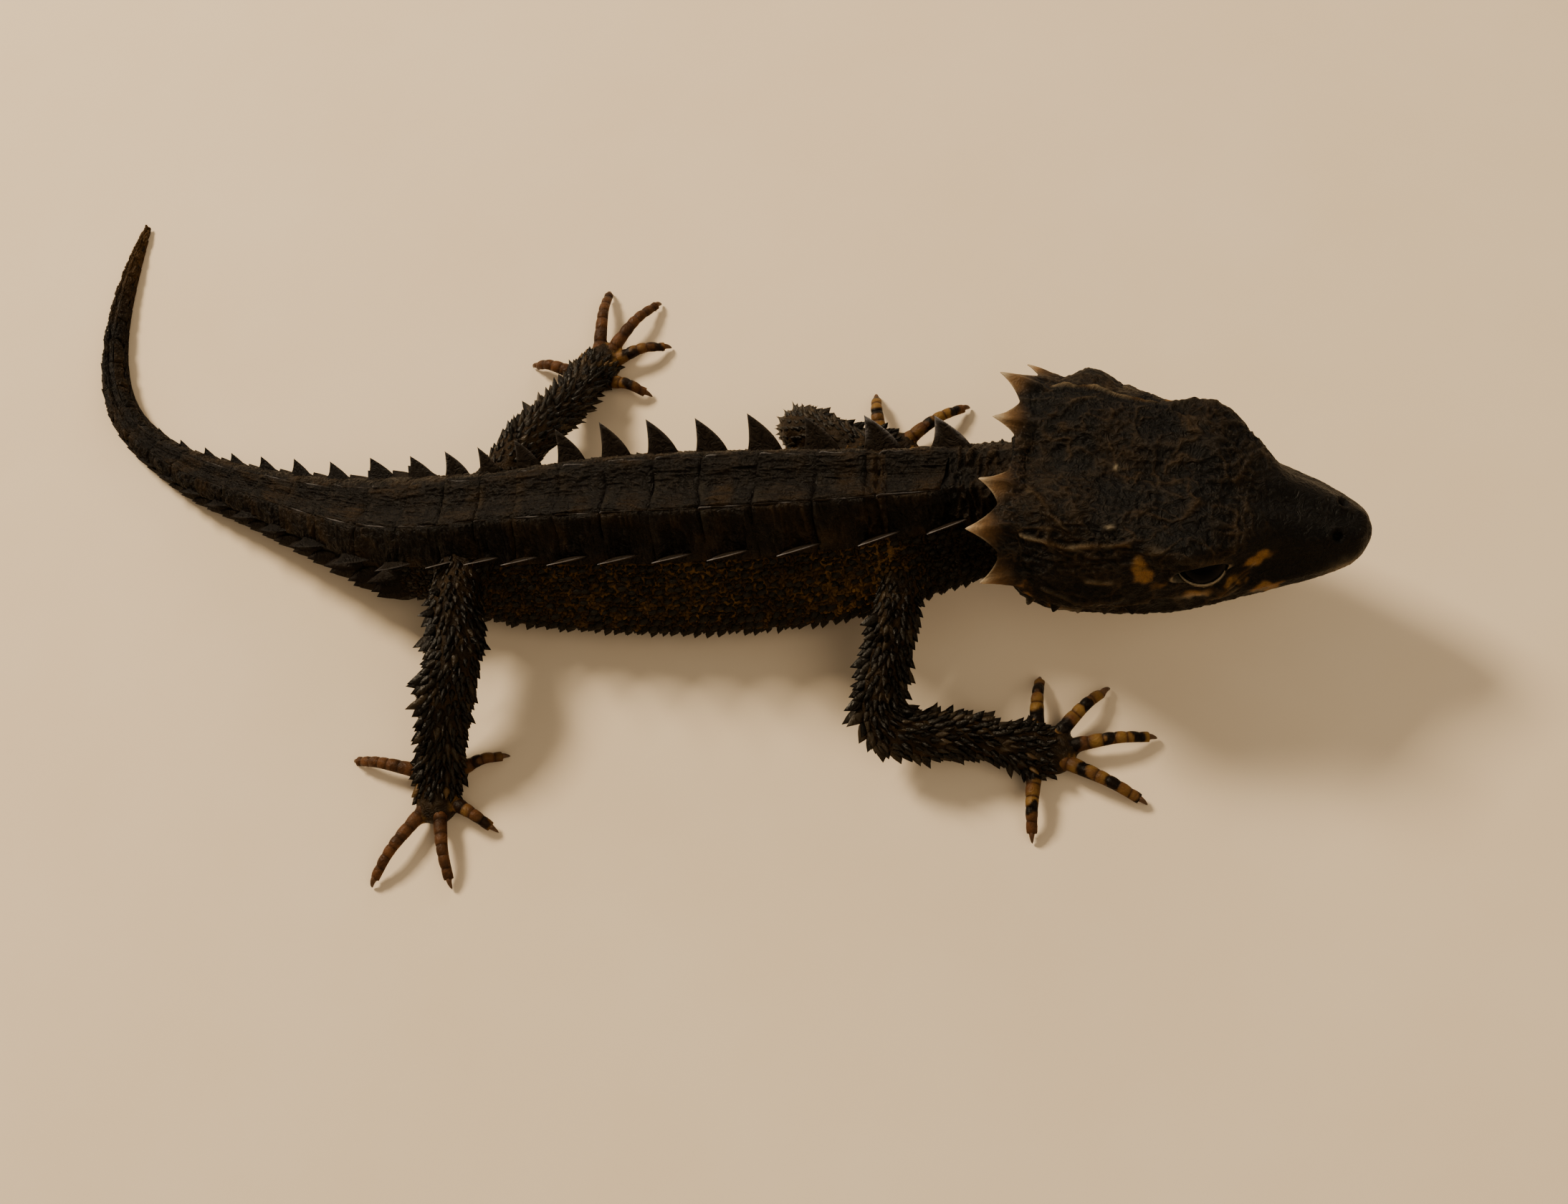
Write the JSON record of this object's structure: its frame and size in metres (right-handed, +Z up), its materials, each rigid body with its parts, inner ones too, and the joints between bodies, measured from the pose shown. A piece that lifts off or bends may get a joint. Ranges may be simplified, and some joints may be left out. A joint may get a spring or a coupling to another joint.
{
  "type": "crocodile skink model",
  "caption": "Still life-size model of a young red-eyed crocodile skink standing with its tail curved to its left.",
  "frame": {"origin": "on the floor under the centre of the model's bounding box", "axes": "+X towards the head, +Y to the animal's left, +Z up; the soles, claw tips and rear tail rest on z = 0"},
  "size_m": [0.0948, 0.054, 0.0156],
  "materials": {
    "body_skin": "dry black-brown scales with orange-brown flanks",
    "head_skin": "dark brown bony plates with paler spine tips",
    "limb_skin": "dry black-brown keeled scales",
    "toe_skin": "orange-brown scales with black bands",
    "spine": "dull horn, paler along the edges",
    "claw": "smooth brown horn",
    "eye": "wet, near black"
  },
  "bodies": {
    "root": {"head": "head_skin", "lower_jaw": "head_skin", "eye_left": "eye", "eye_right": "eye", "neck": "body_skin", "torso": "body_skin", "tail_base": "body_skin", "tail_middle": "body_skin", "tail_rear": "body_skin", "tail_tip": "body_skin", "upper_arm_right": "limb_skin", "forearm_right": "limb_skin", "hand_right": "toe_skin", "upper_arm_left": "limb_skin", "forearm_left": "limb_skin", "hand_left": "toe_skin", "thigh_right": "limb_skin", "shank_right": "limb_skin", "foot_right": "toe_skin", "thigh_left": "limb_skin", "shank_left": "limb_skin", "foot_left": "toe_skin"}
  },
  "joints": []
}
